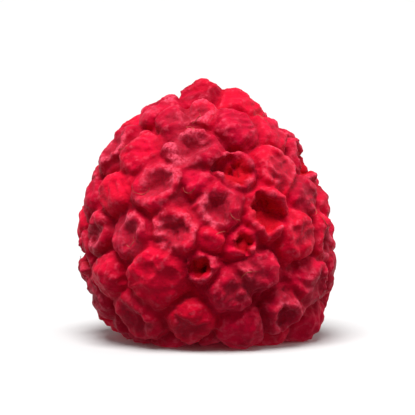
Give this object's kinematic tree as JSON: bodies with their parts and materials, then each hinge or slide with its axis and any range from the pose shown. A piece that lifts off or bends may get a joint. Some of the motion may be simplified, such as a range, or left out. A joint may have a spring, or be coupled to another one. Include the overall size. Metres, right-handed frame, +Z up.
{
  "type": "raspberry",
  "caption": "Freeze-dried raspberry: a blunt cone of small round drupelets, some dimpled or burst, with an open hollow in its base that it stands on.",
  "frame": {"origin": "on the surface that the berry stands on, under the middle of its outline", "axes": "+Z up from the open end to the tip; the front that the picture shows faces -Y, and +X is to its right"},
  "size_m": [0.0201, 0.0201, 0.0203],
  "materials": {
    "raspberry_flesh": "matt, powdery, dried fruit"
  },
  "bodies": {
    "root": {"raspberry": "raspberry_flesh"}
  },
  "joints": []
}
